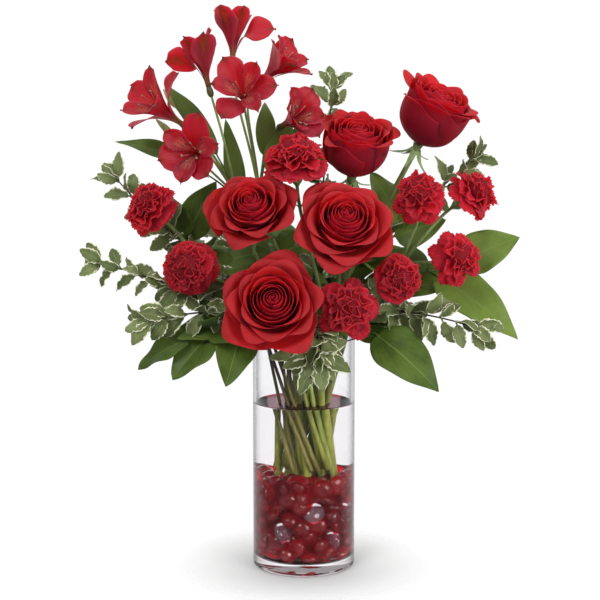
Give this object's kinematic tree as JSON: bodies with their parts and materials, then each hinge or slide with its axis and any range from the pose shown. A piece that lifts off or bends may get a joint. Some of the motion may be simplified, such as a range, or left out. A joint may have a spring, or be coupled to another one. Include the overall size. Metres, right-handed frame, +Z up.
{
  "type": "cut flowers in a vase",
  "caption": "Red roses, spray carnations and alstroemeria with mixed greenery, standing in water on red glass pebbles in a clear glass cylinder vase",
  "frame": {"origin": "middle of the flat underside of the vase, on the surface it stands on", "axes": "+Z up along the vase's axis; -Y is the front that the flowers face; +X to the right seen from the front"},
  "size_m": [0.4239, 0.25, 0.5479],
  "materials": {
    "glass": "clear, smooth",
    "water": "clear",
    "pebbles": "clear red, glossy",
    "rose": "velvet red petals",
    "carnation": "matte red petals, toothed and ruffled",
    "alstroemeria": "satin red petals with green tips",
    "stalk": "satin green stems",
    "lemon_leaf": "satin to glossy green leaf",
    "pittosporum": "grey-green leaf with a cream edge"
  },
  "bodies": {
    "root": {"alstroemeria_far_left": "alstroemeria", "alstroemeria_low_left": "alstroemeria", "alstroemeria_middle": "alstroemeria", "alstroemeria_right": "alstroemeria", "alstroemeria_stem_left": "stalk", "alstroemeria_stem_right": "stalk", "alstroemeria_top": "alstroemeria", "alstroemeria_top_left": "alstroemeria", "alstroemeria_top_right": "alstroemeria", "carnation_far_left": "carnation", "carnation_far_right": "carnation", "carnation_front": "carnation", "carnation_left": "carnation", "carnation_right": "carnation", "carnation_right_high": "carnation", "carnation_right_low": "carnation", "carnation_stem_front": "stalk", "carnation_stem_left": "stalk", "carnation_stem_right": "stalk", "carnation_stem_top": "stalk", "carnation_top": "carnation", "lemon_leaf_back": "lemon_leaf", "lemon_leaf_behind_right": "lemon_leaf", "lemon_leaf_left": "lemon_leaf", "lemon_leaf_low_left": "lemon_leaf", "lemon_leaf_low_right": "lemon_leaf", "lemon_leaf_middle": "lemon_leaf", "lemon_leaf_right": "lemon_leaf", "pebble_bed": "pebbles", "pittosporum_back_left": "pittosporum", "pittosporum_back_right": "pittosporum", "pittosporum_front": "pittosporum", "pittosporum_left": "pittosporum", "pittosporum_left_high": "pittosporum", "pittosporum_low_left": "pittosporum", "pittosporum_low_right": "pittosporum", "pittosporum_right_high": "pittosporum", "pittosporum_top": "pittosporum", "rose_front_bloom": "rose", "rose_front_stem": "stalk", "rose_high_bloom": "rose", "rose_high_stem": "stalk", "rose_left_bloom": "rose", "rose_left_stem": "stalk", "rose_right_bloom": "rose", "rose_right_stem": "stalk", "rose_top_bloom": "rose", "rose_top_stem": "stalk", "vase": "glass", "water": "water"}
  },
  "joints": []
}
